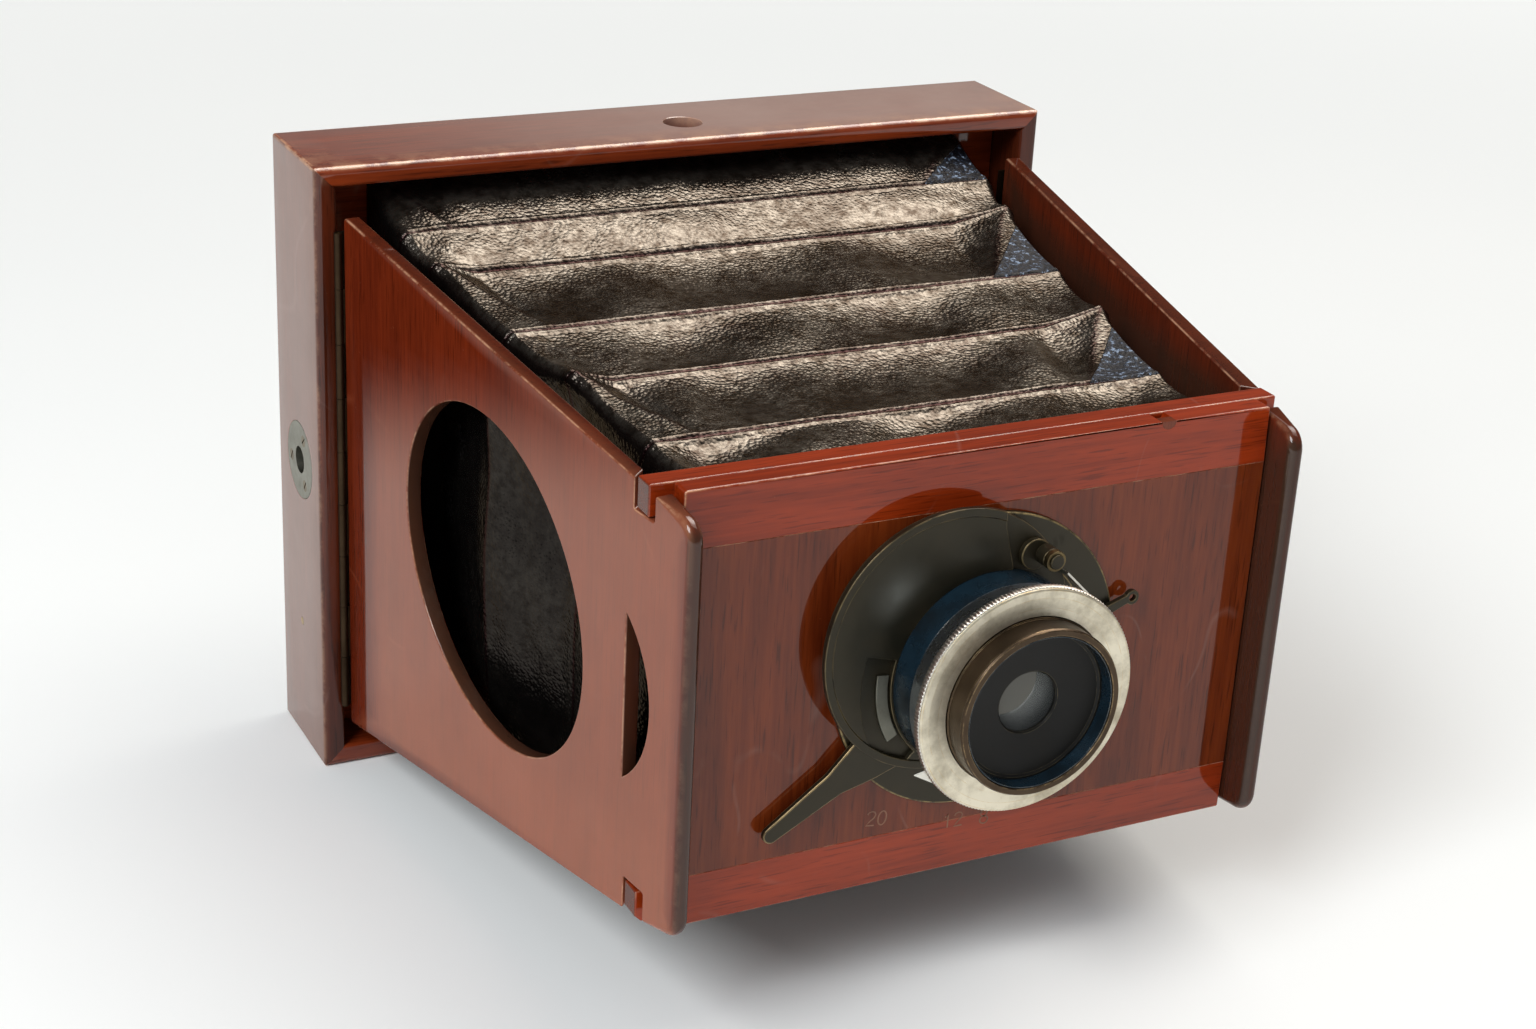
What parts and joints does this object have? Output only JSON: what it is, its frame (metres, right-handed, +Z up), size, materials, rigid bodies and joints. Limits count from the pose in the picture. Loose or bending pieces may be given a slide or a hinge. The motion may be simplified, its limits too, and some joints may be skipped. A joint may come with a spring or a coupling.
{
  "type": "folding plate camera",
  "caption": "Folding wooden plate camera: polished box frame, hinged side wings holding a sliding front, leather bellows, brass lens with shutter and a hinged focusing screen",
  "frame": {"origin": "centre of the bounding box on the surface the frame stands on", "axes": "+X across the width, the lens looks along -Y, +Z up"},
  "size_m": [0.146, 0.1544, 0.1163],
  "materials": {
    "mahogany": "French-polished red-brown mahogany",
    "mahogany_brown": "polished brown mahogany",
    "bellows_leather": "glossy black pebbled leather",
    "brass": "aged brass",
    "nickel": "worn nickel plate",
    "black_lacquer": "black lacquer on brass, worn",
    "worn_lacquer": "blue-black lacquer worn to brass at the edges",
    "white_paint": "white paint",
    "lens_glass": "clear optical glass",
    "ground_glass": "finely ground glass",
    "steel_blade": "grey shutter blade"
  },
  "bodies": {
    "back": {"frame_top": "mahogany", "frame_bottom": "mahogany", "frame_left": "mahogany", "frame_right": "mahogany", "bellows_frame": "mahogany_brown", "bellows": "bellows_leather", "tripod_bush": "nickel", "bush_screws": "nickel", "brass_pin": "brass", "left_hinge_fixed": "brass", "left_hinge_pin": "brass", "right_hinge_fixed": "brass", "right_hinge_pin": "brass", "screen_hinges_fixed": "brass", "screen_hinge_pins": "brass", "button_screw": "brass"},
    "left_side": {"left_wing": "mahogany", "left_hinge_leaf": "brass"},
    "right_side": {"right_wing": "mahogany", "right_hinge_leaf": "brass"},
    "front": {"rear_board": "mahogany", "lens_panel": "mahogany_brown", "clamp_top": "mahogany", "clamp_bottom": "mahogany", "top_plug": "mahogany_brown", "panel_pins": "brass", "lens_base": "black_lacquer", "base_screws": "black_lacquer", "release_screw": "brass"},
    "focus_arm": {"focus_lever": "black_lacquer"},
    "release": {"release_lever": "black_lacquer"},
    "lens_head": {"case_plate": "black_lacquer", "shutter_case": "black_lacquer", "case_rim": "worn_lacquer", "barrel": "worn_lacquer", "silver_band": "nickel", "hood": "worn_lacquer", "hood_rim": "brass", "stop_plate": "black_lacquer", "front_glass": "lens_glass", "lens_tube": "black_lacquer", "rear_cell": "brass", "rear_glass": "lens_glass", "pivot_boss": "black_lacquer", "spring_strip": "nickel", "blade_pin": "brass"},
    "window_sector": {"window_blade": "nickel"},
    "blade": {"shutter_blade": "steel_blade"},
    "stop_ring": {"knurled_ring": "nickel", "ring_face": "nickel", "pointer": "white_paint"},
    "setting_knob": {"setting_post": "black_lacquer", "post_ring": "brass"},
    "screen": {"screen_frame": "mahogany_brown", "ground_glass": "ground_glass", "glass_clips": "brass", "screen_hinge_leaves": "brass"},
    "button": {"screen_button": "brass"}
  },
  "joints": [
    {"name": "left_wing_hinge", "type": "hinge", "parent": "back", "child": "left_side", "pos_m": [-0.06915, 0.04982, 0.059], "axis": [0, 0, -1], "range_deg": [0, 90]},
    {"name": "right_wing_hinge", "type": "hinge", "parent": "back", "child": "right_side", "pos_m": [0.06915, 0.04982, 0.059], "axis": [0, 0, 1], "range_deg": [0, 90]},
    {"name": "front_slide", "type": "slide", "parent": "back", "child": "front", "axis": [0, 1, 0], "range_m": [0, 0.085], "deforming": ["bellows"]},
    {"name": "focus_turn", "type": "hinge", "parent": "front", "child": "focus_arm", "pos_m": [-0.0003, -0.0588, 0.06065], "axis": [0, -1, 0], "range_deg": [0, 85]},
    {"name": "lens_travel", "type": "slide", "parent": "front", "child": "lens_head", "axis": [0, -1, 0], "range_m": [0, 0.003]},
    {"name": "release_turn", "type": "hinge", "parent": "front", "child": "release", "pos_m": [0.0206, -0.0588, 0.0652], "axis": [0, 1, 0], "range_deg": [0, 12], "stiffness_Nm_per_rad": 0.01},
    {"name": "window_turn", "type": "hinge", "parent": "lens_head", "child": "window_sector", "pos_m": [-0.0003, -0.0606, 0.06065], "axis": [0, -1, 0], "range_deg": [0, 9.6]},
    {"name": "blade_turn", "type": "hinge", "parent": "lens_head", "child": "blade", "pos_m": [0.00518, -0.07175, 0.06973], "axis": [0, -1, 0], "range_deg": [0, 27]},
    {"name": "stop_ring_turn", "type": "hinge", "parent": "lens_head", "child": "stop_ring", "pos_m": [-0.0003, -0.0721, 0.06065], "axis": [0, -1, 0], "range_deg": [-20, 60]},
    {"name": "setting_turn", "type": "hinge", "parent": "lens_head", "child": "setting_knob", "pos_m": [0.008, -0.0624, 0.0794], "axis": [0, -1, 0], "range_deg": [-45, 45]},
    {"name": "screen_hinge", "type": "hinge", "parent": "back", "child": "screen", "pos_m": [0, 0.0762, 0.1126], "axis": [1, 0, 0], "range_deg": [0, 100]},
    {"name": "button_turn", "type": "hinge", "parent": "back", "child": "button", "pos_m": [0, 0.0758, 0.002], "axis": [0, -1, 0], "range_deg": [0, 90]}
  ],
  "couplings": [
    {"joint": "right_wing_hinge", "follows": "left_wing_hinge", "ratio": 1},
    {"joint": "front_slide", "follows": "left_wing_hinge", "m_per_rad": 0.054},
    {"joint": "focus_turn", "follows": "lens_travel", "rad_per_m": 494.5},
    {"joint": "blade_turn", "follows": "release_turn", "ratio": 2.25},
    {"joint": "window_turn", "follows": "release_turn", "ratio": 0.8}
  ]
}
